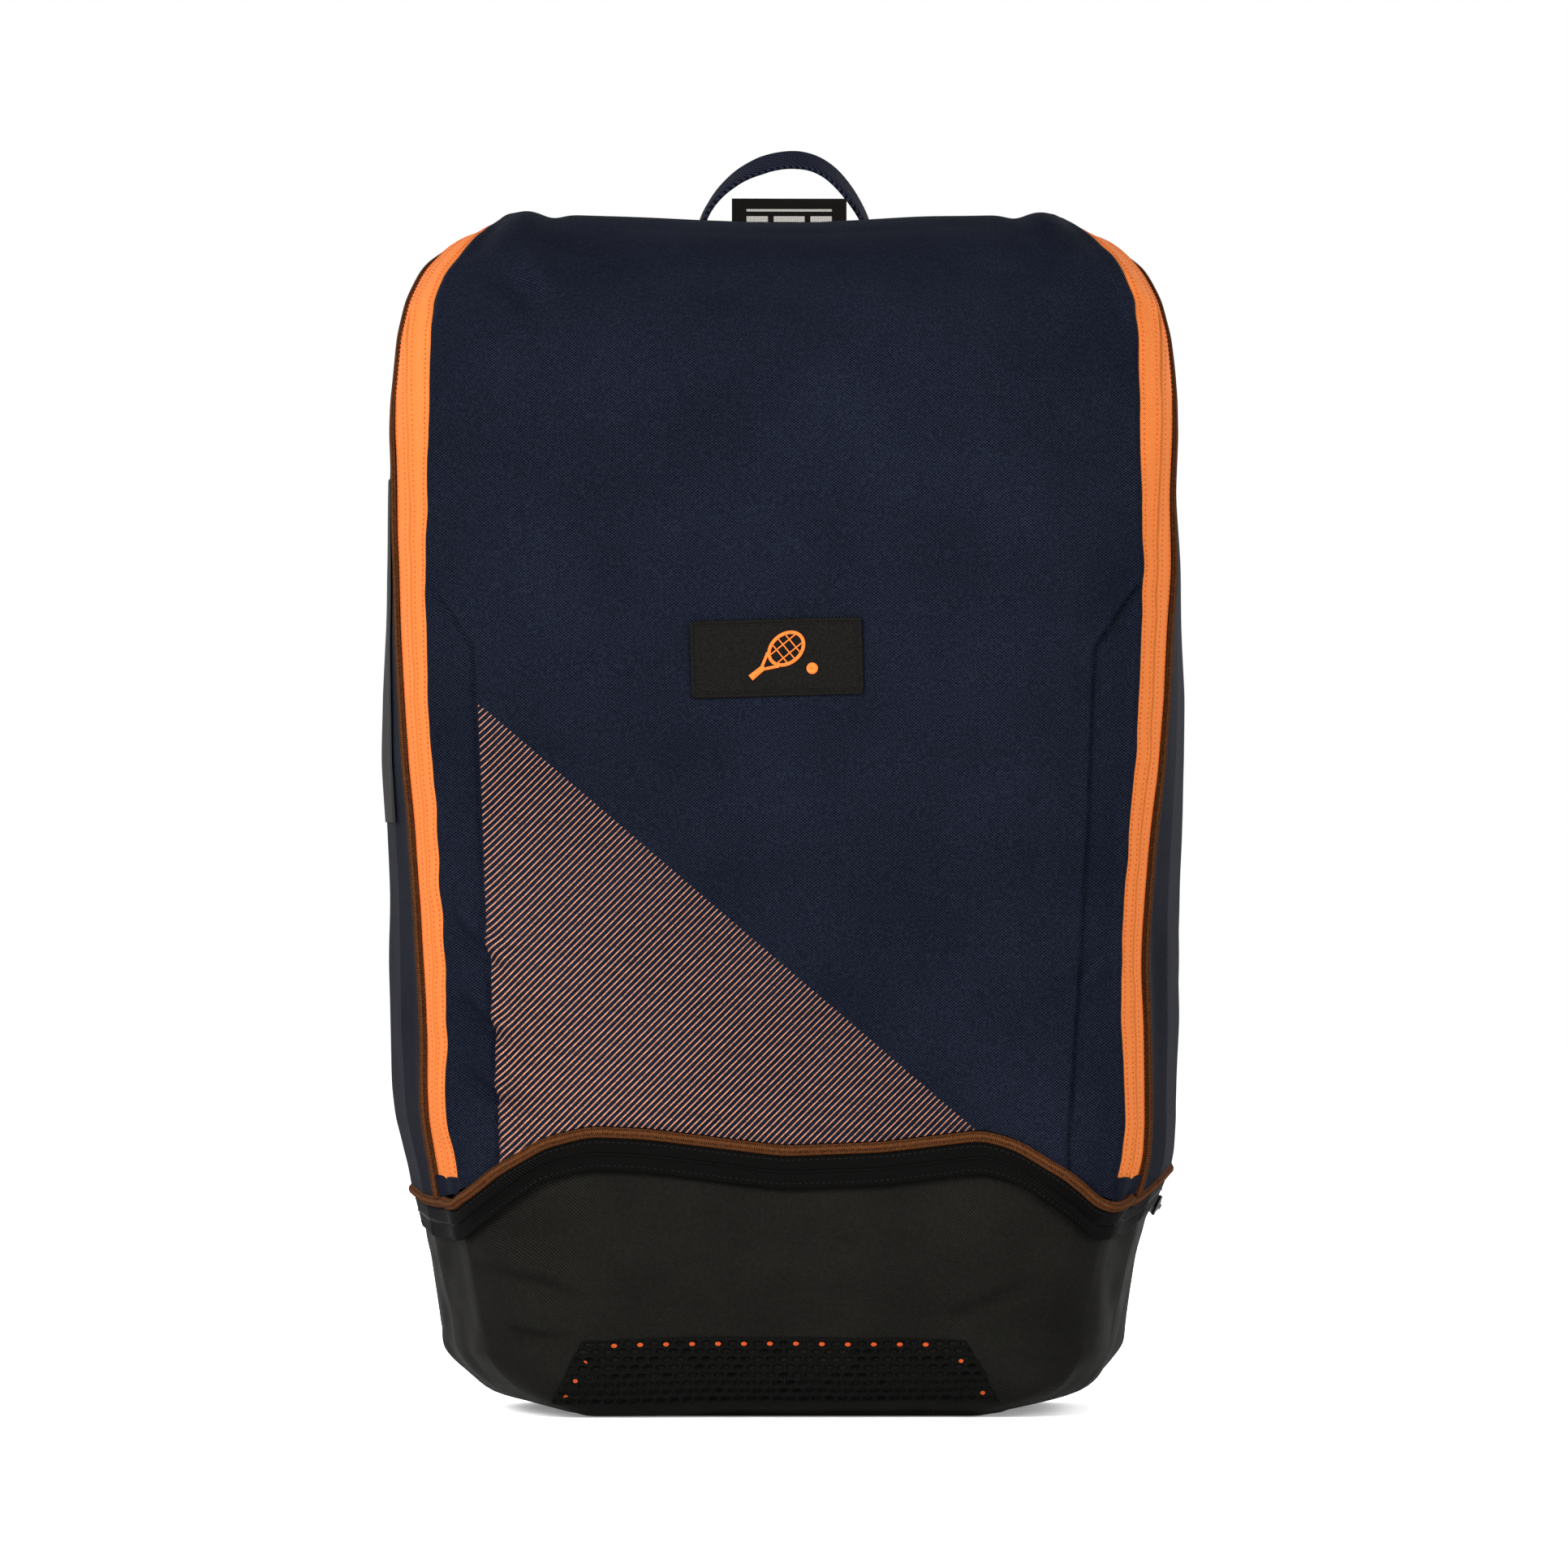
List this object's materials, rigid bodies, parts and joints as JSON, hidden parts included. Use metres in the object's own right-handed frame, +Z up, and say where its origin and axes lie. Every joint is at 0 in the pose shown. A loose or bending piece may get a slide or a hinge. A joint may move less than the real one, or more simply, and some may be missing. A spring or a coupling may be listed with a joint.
{
  "type": "racket backpack",
  "caption": "Racket backpack with a clamshell main compartment, a separate shoe compartment under it, padded shoulder straps and a hang loop.",
  "frame": {"origin": "on the ground, in the middle of the flat underside of the base", "axes": "+X to the right seen from the front, +Y towards the wearer's back, +Z up"},
  "size_m": [0.3346, 0.2578, 0.531],
  "materials": {
    "navy_fabric": "matte woven polyester",
    "black_back_fabric": "matte woven polyester",
    "grey_lining": "satin woven lining",
    "orange_zip_tape": "twill zip tape",
    "orange_zip_coil": "nylon coil, reversed",
    "copper_piping": "ribbed woven binding",
    "black_zip_tape": "twill zip tape",
    "black_zip_coil": "nylon coil, reversed",
    "charcoal_coated_fabric": "coated woven polyester, satin",
    "black_mesh": "spacer mesh",
    "foam": "closed cell foam",
    "stiffener_board": "polyethylene board",
    "black_rubber": "matte moulded rubber",
    "orange_rubber": "matte moulded rubber",
    "black_label": "woven damask label",
    "navy_webbing": "ribbed polyester webbing",
    "gunmetal": "satin painted zinc",
    "black_air_mesh": "air mesh over foam",
    "black_webbing": "ribbed polyester webbing",
    "black_plastic": "moulded acetal, satin"
  },
  "bodies": {
    "root": {"back_foam_board": "foam", "back_pad_left": "black_air_mesh", "back_pad_right": "black_air_mesh", "back_panel": "black_back_fabric", "base_board": "stiffener_board", "base_piping": "copper_piping", "base_shell": "charcoal_coated_fabric", "body_lining": "grey_lining", "divider_floor": "grey_lining", "front_hinge_band": "navy_fabric", "hang_loop_feet": "navy_webbing", "lumbar_pad": "black_air_mesh", "main_zip_coil": "orange_zip_coil", "main_zip_lower_ends": "orange_zip_tape", "main_zip_piping": "copper_piping", "main_zip_rear_tape": "orange_zip_tape", "racket_divider": "grey_lining", "roof_panel": "navy_fabric", "shoe_zip_coil": "black_zip_coil", "shoe_zip_side_tape": "black_zip_tape", "shoe_zip_upper_tape": "black_zip_tape", "side_coated_panel": "charcoal_coated_fabric", "side_panel_left": "navy_fabric", "side_panel_right": "navy_fabric", "strap_bottom_tab_left": "black_webbing", "strap_bottom_tab_right": "black_webbing", "strap_top_anchor_left": "black_webbing", "strap_top_anchor_right": "black_webbing", "woven_tag": "black_label"},
    "front_flap": {"front_panel": "navy_fabric", "front_gusset_left": "navy_fabric", "front_gusset_right": "navy_fabric", "front_lining": "grey_lining", "main_zip_front_tape": "orange_zip_tape", "rubber_patch": "black_rubber", "patch_emblem": "orange_rubber"},
    "shoe_flap": {"shoe_flap_wall": "charcoal_coated_fabric", "vent_mesh": "black_mesh", "shoe_zip_front_tape": "black_zip_tape"},
    "hang_loop_body": {"hang_loop": "navy_webbing"},
    "main_slider_left_body": {"main_slider_left": "gunmetal"},
    "main_slider_right_body": {"main_slider_right": "gunmetal"},
    "main_puller_left_body": {"main_puller_left": "gunmetal"},
    "main_puller_right_body": {"main_puller_right": "gunmetal"},
    "shoe_slider_body": {"shoe_slider": "gunmetal"},
    "shoe_puller_body": {"shoe_puller": "gunmetal"},
    "strap_left": {"strap_pad_left": "black_air_mesh", "ladder_lock_left": "black_plastic", "strap_webbing_left": "black_webbing", "strap_top_tab_left": "black_webbing"},
    "strap_right": {"strap_pad_right": "black_air_mesh", "ladder_lock_right": "black_plastic", "strap_webbing_right": "black_webbing", "strap_top_tab_right": "black_webbing"}
  },
  "joints": [
    {"name": "front_flap_fold", "type": "hinge", "parent": "root", "child": "front_flap", "pos_m": [0, -0.1086, 0.114], "axis": [1, 0, 0], "range_deg": [0, 100]},
    {"name": "shoe_flap_fold", "type": "hinge", "parent": "root", "child": "shoe_flap", "pos_m": [0, -0.0945, 0.012], "axis": [1, 0, 0], "range_deg": [0, 70]},
    {"name": "hang_loop_swing", "type": "hinge", "parent": "root", "child": "hang_loop_body", "pos_m": [0, 0.066, 0.50428], "axis": [1, 0, 0], "range_deg": [-85, 15], "stiffness_Nm_per_rad": 0.004},
    {"name": "main_slider_left_travel", "type": "slide", "parent": "root", "child": "main_slider_left_body", "axis": [-1, 0, 0], "range_m": [0, 0.085]},
    {"name": "main_slider_right_travel", "type": "slide", "parent": "root", "child": "main_slider_right_body", "axis": [1, 0, 0], "range_m": [0, 0.085]},
    {"name": "main_puller_left_swing", "type": "hinge", "parent": "main_slider_left_body", "child": "main_puller_left_body", "pos_m": [-0.007, 0.028, 0.5017], "axis": [0, 1, 0], "range_deg": [0, 95]},
    {"name": "main_puller_right_swing", "type": "hinge", "parent": "main_slider_right_body", "child": "main_puller_right_body", "pos_m": [0.007, 0.028, 0.5017], "axis": [0, -1, 0], "range_deg": [0, 95]},
    {"name": "shoe_slider_travel", "type": "slide", "parent": "root", "child": "shoe_slider_body", "axis": [0, -1, 0], "range_m": [0, 0.1]},
    {"name": "shoe_puller_swing", "type": "hinge", "parent": "shoe_slider_body", "child": "shoe_puller_body", "pos_m": [0.16056, 0.05, 0.08433], "axis": [-0.2947, 0, -0.9556], "range_deg": [0, 95]},
    {"name": "strap_left_swing", "type": "hinge", "parent": "root", "child": "strap_left", "pos_m": [-0.052, 0.093, 0.456], "axis": [-0.1715, 0, -0.9852], "range_deg": [-10, 10]},
    {"name": "strap_right_swing", "type": "hinge", "parent": "root", "child": "strap_right", "pos_m": [0.052, 0.093, 0.456], "axis": [0.1715, 0, -0.9852], "range_deg": [-10, 10]}
  ]
}
